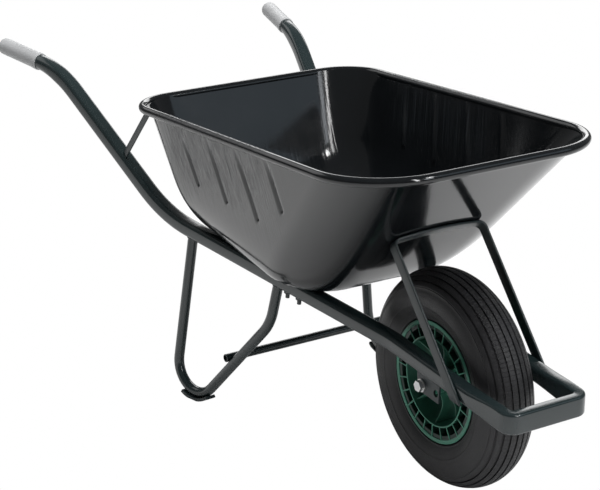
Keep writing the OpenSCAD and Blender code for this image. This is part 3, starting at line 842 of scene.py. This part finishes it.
MOUTH = outline(RIM_REAR_X + 6, RIM_FRONT_X - 6, MOUTH_HALF_W - 6, 104, 130)
TURNOVER = outline(AXLE.x - 628, AXLE.x - 207, 209, 72, 120)
FLOOR_EDGE = outline(AXLE.x - 540, AXLE.x - 250, 155, 60, 90)
STRAIGHT_SHARE = 0.6
WALL_N = 44
ROLL_N = 18

# Each rib runs from a top point to a bottom point, given as (x, z).
RIBS = [((-63, 536), (-42, 463)), ((35, 558), (62, 459)), ((138, 565), (172, 457)),
        ((244, 576), (266, 501))]
RIB_HALF_W = 7.0
RIB_DEPTH = 4.2


def rib_push(x, z):
    """How far the wall is pressed inwards at a place on a side wall."""
    push = 0
    for (x0, z0), (x1, z1) in RIBS:
        run = Vector((x1 - x0, z1 - z0))
        gone = Vector((x - x0, z - z0))
        share = gone.dot(run) / run.length_squared
        sideways = abs(gone.x * run.y - gone.y * run.x) / run.length
        beyond = max(0, share - 1) * run.length
        reach = math.hypot(sideways, beyond) / RIB_HALF_W
        fade = min(1, max(0, (share + 0.25) / 0.6))
        if reach < 1 and fade > 0:
            push = max(push, fade * RIB_DEPTH * (0.5 + 0.5 * math.cos(math.pi * reach)) ** 0.7)
    return push


def wall_point(i, level):
    """A point of the tray's outer skin: levels 0 to 1 are the straight wall, 1 to 2 the roll."""
    mx, my = MOUTH[i]
    cx, cy = TURNOVER[i]
    fx, fy = FLOOR_EDGE[i]
    mouth = Vector((mx, my, rim_z(mx) - 4))
    corner = Vector((cx, cy, floor_z(cx)))
    inside = Vector((fx, fy, floor_z(fx)))
    knuckle = mouth.lerp(corner, STRAIGHT_SHARE)
    if level <= 1:
        point = mouth.lerp(knuckle, level)
    else:
        u = level - 1
        point = knuckle * (1 - u) ** 2 + corner * 2 * u * (1 - u) + inside * u ** 2
    if abs(point.y) > 200:
        point.y -= math.copysign(rib_push(point.x, point.z), point.y)
    return point


def on_floor_edge(point):
    """Whether a point of the skin lies on the edge of the flat floor."""
    if abs(point.z - floor_z(point.x)) > 0.02:
        return False
    return any(abs(point.x - fx) < 0.05 and abs(point.y - fy) < 0.05 for fx, fy in FLOOR_EDGE)


def make_tray():
    count = len(MOUTH)
    levels = [k / WALL_N for k in range(WALL_N + 1)] + [1 + k / ROLL_N for k in range(1, ROLL_N + 1)]
    skin = wrapped_sheet("tray_skin", count, len(levels) - 1,
                         lambda column, row: wall_point(column % count, levels[row]))
    # The floor is the last ring filled in, shrunk once so that its faces stay small.
    edit_where(skin, on_floor_edge)
    bpy.ops.mesh.edge_face_add()
    bpy.ops.mesh.inset(thickness=FLOOR_INSET * MM)
    bpy.ops.mesh.select_all(action="SELECT")
    bpy.ops.mesh.normals_make_consistent(inside=False)
    leave_edit()
    wall = skin.modifiers.new("Sheet thickness", "SOLIDIFY")
    wall.thickness = TRAY_T * MM
    wall.offset = -1
    pick(skin)
    bpy.ops.object.modifier_apply(modifier=wall.name)
    return skin


def make_rim_bead():
    ring = outline(RIM_REAR_X, RIM_FRONT_X, MOUTH_HALF_W, 88, 136)
    count = len(ring)

    def place(column, row):
        x, y = ring[row % count]
        before = ring[(row - 1) % count]
        after = ring[(row + 1) % count]
        along = Vector((after[0] - before[0], after[1] - before[1]))
        out = Vector((along.y, -along.x)).normalized()
        turn = 2 * math.pi * column / BEAD_SIDES
        px = x + out.x * BEAD_R * math.cos(turn)
        py = y + out.y * BEAD_R * math.cos(turn)
        return Vector((px, py, rim_z(x) - BEAD_R + BEAD_R * math.sin(turn)))

    return wrapped_sheet("tray_rim_bead", BEAD_SIDES, count, place, angle=60)


TRAY_SKIN = make_tray()
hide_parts("tray")
smooth(TRAY_SKIN, 40)
dress(TRAY_SKIN, TRAY_PAINT, "barrow")
RIM_BEAD = make_rim_bead()
dress(RIM_BEAD, TRAY_PAINT, "barrow")

# --- Grips -----------------------------------------------------------------------------------
GRIP_LENGTH = 128.0
GRIP_R = 17.25
GRIP_END_R = 9
GRIP_STEPS = 56


def make_grips():
    length = GRIP_LENGTH
    radius = GRIP_R
    bore = TUBE_D / 2 + 0.05
    flat_r = radius - GRIP_END_R
    profile = [(0.01, 0), (flat_r, 0)]
    profile += [(flat_r + GRIP_END_R * math.sin(a), GRIP_END_R - GRIP_END_R * math.cos(a))
                for a in [math.pi / 2 * k / 8 for k in range(1, 9)]]
    profile += [(radius, length - 16), (radius + 0.7, length - 12), (radius + 0.9, length - 4),
                (radius + 0.5, length - 1), (radius - 0.4, length), (bore, length), (bore, 5),
                (0.01, 5)]
    start = side_point(GRIP_S, GRIP_Z, -1)
    ahead = (side_point(UPPER_S, GRIP_Z - UPPER_DROP, -1) - start).normalized()
    across = ahead.cross(UP).normalized()
    lift = across.cross(ahead)

    def place(column, row):
        r, z = profile[column % len(profile)]
        turn = 2 * math.pi * row / GRIP_STEPS
        return start + ahead * z + (across * math.cos(turn) + lift * math.sin(turn)) * r

    right = wrapped_sheet("right_hand_grip", len(profile), GRIP_STEPS, place, angle=40)
    left = mirrored(right, "left_hand_grip")
    for piece, node in ((right, "right_grip"), (left, "left_grip")):
        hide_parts(node)
        dress(piece, GRIP_PLASTIC, "barrow")


make_grips()

# --- Tyre ------------------------------------------------------------------------------------
SECTION_R = TYRE_HALF_W
SECTION_CENTRE = TYRE_R - SECTION_R
GROOVE_ANGLES = (-49, -35, -21, -7, 7, 21, 35, 49)
GROOVE_HALF = 2.1
GROOVE_DEPTH = 3.0
RIM_SEAT_R = 101.5
FLANGE_R = 112.5
RIM_HALF_W = 42.0
TYRE_INSIDE_R = 45
TYRE_FOOT_IN = 30
TYRE_STEPS = 160
# Small raised rings on the side wall: angle from the crown, height and half width.
WALL_RIDGES = ((63, 0.7, 1.6), (100, 0.5, 1.0), (128, 0.9, 2.0))
# Angles of the points on each side wall, closer together at the rings.
WALL_ANGLES = (56, 60, 61.4, 62.2, 63, 63.8, 64.6, 70, 76, 82, 88, 94, 99, 100, 101, 106, 112, 118,
               124, 126, 127, 128, 129, 130, 134)


def tread_radius(angle):
    """Radius of the tyre's round section at an angle from the crown, in degrees."""
    depth = 0
    for groove in GROOVE_ANGLES:
        gap = abs(angle - groove)
        if gap < GROOVE_HALF:
            depth = GROOVE_DEPTH * min(1, (GROOVE_HALF - gap) / 0.7)
    for ridge, height, half in WALL_RIDGES:
        gap = abs(abs(angle) - ridge)
        if gap < half:
            depth -= height * (0.5 + 0.5 * math.cos(math.pi * gap / half))
    return SECTION_R - depth - (0.9 if abs(angle) > 60 else 0)


def make_tyre():
    angles = []
    for groove in GROOVE_ANGLES:
        angles += [groove - GROOVE_HALF, groove - GROOVE_HALF + 0.7, groove,
                   groove + GROOVE_HALF - 0.7, groove + GROOVE_HALF, groove + 4.5, groove - 4.5]
    for side in (-1, 1):
        angles += [side * a for a in WALL_ANGLES]
    angles = sorted(set(angles))
    outer = []
    for angle in angles:
        r = tread_radius(angle)
        turn = math.radians(angle)
        outer.append((SECTION_CENTRE + r * math.cos(turn), r * math.sin(turn)))
    bead_half = RIM_HALF_W - 3.2
    right_foot = [(FLANGE_R - 0.5, bead_half + 0.2), (RIM_SEAT_R + 0.1, bead_half - 1),
                  (RIM_SEAT_R + 0.1, TYRE_FOOT_IN)]
    inner = [(SECTION_CENTRE + TYRE_INSIDE_R * math.cos(a), TYRE_INSIDE_R * math.sin(a))
             for a in [math.radians(132 - 264 * k / 24) for k in range(25)]]
    left_foot = [(r, -w) for r, w in reversed(right_foot)]
    profile = outer + right_foot + inner + left_foot
    piece = lathe("tyre_ribbed", profile, TYRE_STEPS, 30)
    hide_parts("tyre")
    return dress(piece, RUBBER, "wheel")


make_tyre()

# --- Rim -------------------------------------------------------------------------------------
RIM_BARS = 24
INNER_RING_R = 80.0
INNER_RING_T = 3.0
BAR_T = 2.6
# Half width at which the lattice's front edges stand, just inside the flanges.
RIM_FACE_HALF = 41.2
HUB_R = 22.0
HUB_HALF = 58.0
BUSH_R = 14.0
RIM_STEPS = 144
HUB_STEPS = 72
ACROSS = Vector((0, 1, 0))


def make_rim():
    w = RIM_HALF_W
    barrel = [(RIM_SEAT_R, -w + 4), (RIM_SEAT_R + 1, -w + 3.2), (FLANGE_R - 1.2, -w + 2.6),
              (FLANGE_R, -w + 1.5), (FLANGE_R - 0.4, -w + 0.5), (FLANGE_R - 1.6, -w),
              (FLANGE_R - 6.4, -w + 0.3), (FLANGE_R - 7.4, -w + 0.9), (FLANGE_R - 7.8, -w + 2.3),
              (RIM_SEAT_R - 3.4, -w + 2.3), (RIM_SEAT_R - 4, -w + 2.9)]
    barrel += [(r, -y) for r, y in reversed(barrel)]
    parts = [lathe("rim_barrel", barrel, RIM_STEPS, 35)]
    ring = rounded_section(INNER_RING_T, 2 * RIM_FACE_HALF, 0.8, 2)
    ring = [(INNER_RING_R + INNER_RING_T / 2 + u, v) for u, v in ring]
    parts.append(lathe("rim_inner_ring", ring, RIM_STEPS, 35))
    hub = [(HUB_R, -HUB_HALF + 1.5), (HUB_R - 1.5, -HUB_HALF), (BUSH_R, -HUB_HALF),
           (BUSH_R, HUB_HALF), (HUB_R - 1.5, HUB_HALF), (HUB_R, HUB_HALF - 1.5)]
    parts.append(lathe("rim_hub", hub, HUB_STEPS, 35))
    for i in range(RIM_BARS):
        turn = 2 * math.pi * i / RIM_BARS
        out = Vector((math.cos(turn), 0, math.sin(turn)))
        path = [AXLE + out * r for r in (INNER_RING_R + 1, 90, FLANGE_R - 7)]
        parts.append(swept(f"rim_bar_{i}", path, rounded_section(BAR_T, 2 * RIM_FACE_HALF, 0.7, 2),
                           ACROSS))
        if i % 3 == 0:
            parts.append(vane(i, out))
    piece = joined("wheel_rim_lattice", parts)
    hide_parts("wheel_rim")
    return dress(piece, GREEN_PLASTIC, "wheel")


def vane(i, out):
    """One deep spoke from the hub to the inner ring, with its edge dished in between."""
    start = HUB_R - 3
    stop = INNER_RING_R + 1
    path = []
    sections = []
    for k in range(15):
        share = k / 14
        path.append(AXLE + out * (start + (stop - start) * share))
        half = 30 + 5 * share - 13 * math.sin(math.pi * share)
        sections.append(rounded_section(BAR_T, 2 * half, 0.7, 2))
    return swept(f"rim_vane_{i}", path, sections, ACROSS)


make_rim()

# --- Carried-over nodes ------------------------------------------------------------------------
FINISHES = {
    FLAT_BAR_PAINT: ("right_foot_plate", "left_foot_plate", "right_axle_plate",
                     "left_axle_plate", "floor_bolts", "floor_nuts"),
    ZINC: ("axle_bolt", "axle_nut", "axle_washers", "axle_sleeve"),
    BLACK_PLASTIC: ("right_hub_bush", "left_hub_bush", "inner_tube", "valve_stem", "valve_cap"),
}
for finish, names in FINISHES.items():
    for name in names:
        node = NODES[name]
        if not node.material_slots:
            node.data.materials.append(finish)
        for material_slot in node.material_slots:
            material_slot.material = finish

# --- Floor, light and camera -------------------------------------------------------------------
FLOOR_SIZE = 14
CAMERA_PLACE = (2.8246, -1.8039, 1.5430)
CAMERA_DEGREES = (69.781, 0, 57.965)
CAMERA_LENS = 110.22


def make_floor():
    deselect()
    bpy.ops.mesh.primitive_plane_add(size=FLOOR_SIZE)
    floor = bpy.context.object
    floor.name = "studio_floor"
    material, tree, shader = new_material("pale_floor")
    mottle = use_group(tree, MOTTLE, {"Colour": (0.8, 0.8, 0.8, 1),
                                      "Second colour": (0.83, 0.83, 0.83, 1), "Amount": 0.5,
                                      "Cloud size": 1.5, "Roughness": 0.9,
                                      "Roughness spread": 0.05})
    tree.links.new(mottle.outputs["Colour"], shader.inputs["Base Color"])
    tree.links.new(mottle.outputs["Roughness"], shader.inputs["Roughness"])
    # The camera sees a plain white floor; the barrow is lit by, and mirrors, the diffuse one.
    plain = add(tree, "ShaderNodeEmission", {"Color": (1, 1, 1, 1), "Strength": 1.0})
    rays = add(tree, "ShaderNodeLightPath")
    seen = add(tree, "ShaderNodeMixShader", {0: rays.outputs["Is Camera Ray"]})
    tree.links.new(shader.outputs["BSDF"], seen.inputs[1])
    tree.links.new(plain.outputs["Emission"], seen.inputs[2])
    surface = next(n for n in tree.nodes if n.type == "OUTPUT_MATERIAL")
    tree.links.new(seen.outputs["Shader"], surface.inputs["Surface"])
    floor.data.materials.append(material)


make_floor()


def area_light(name, place, target, size, power, colour=(1, 1, 1)):
    deselect()
    bpy.ops.object.light_add(type="AREA", location=place)
    light = bpy.context.object
    light.name = name
    light.data.shape = "RECTANGLE"
    light.data.size, light.data.size_y = size
    light.data.energy = power
    light.data.color = colour
    light.rotation_euler = (Vector(target) - Vector(place)).to_track_quat("-Z", "Y").to_euler()
    return light


overhead = area_light("overhead_light", (0, 0, 3.6), (0, 0, 0), (3.0, 3.0), 160)
# It lights the floor and the paint but is not itself mirrored in the gloss.
overhead.visible_glossy = False
area_light("key_light", (2.34, 1.12, 2.54), (0.45, -0.2, 0.6), (0.4, 0.3), 14)
area_light("strip_light", (3.1, 0.2, 1.9), (0, 0, 0.45), (0.26, 2.2), 24)
area_light("window_light", (2.2, 1.9, 1.9), (0, 0, 0.4), (1.5, 1.2), 3, (0.7, 0.86, 1.0))
area_light("front_light", (3.1, 1.0, 1.7), (0.4, 0, 0.35), (0.6, 0.9), 7, (0.9, 0.95, 1.0))
area_light("back_panel", (-2.6, -1.1, 2.2), (0, 0, 0.5), (2.4, 1.6), 11)
area_light("rear_panel", (-2.7, 2.1, 1.7), (0, 0, 0.5), (3.0, 1.0), 30)

world = bpy.data.worlds.new("studio")
bpy.context.scene.world = world
world.use_nodes = True
sky = world.node_tree
background = sky.nodes["Background"]
background.inputs["Color"].default_value = (1, 1, 1, 1)
sky_rays = add(sky, "ShaderNodeLightPath")
brightness = add(sky, "ShaderNodeMapRange", {"Value": sky_rays.outputs["Is Camera Ray"],
                                             "To Min": 0.11, "To Max": 1.0})
sky.links.new(brightness.outputs["Result"], background.inputs["Strength"])

deselect()
bpy.ops.object.camera_add(location=CAMERA_PLACE,
                          rotation=tuple(math.radians(a) for a in CAMERA_DEGREES))
camera = bpy.context.object
camera.name = "camera"
camera.data.lens = CAMERA_LENS
camera.data.sensor_width = 36
camera.data.sensor_fit = "HORIZONTAL"
bpy.context.scene.camera = camera
bpy.context.scene.view_settings.view_transform = "Standard"
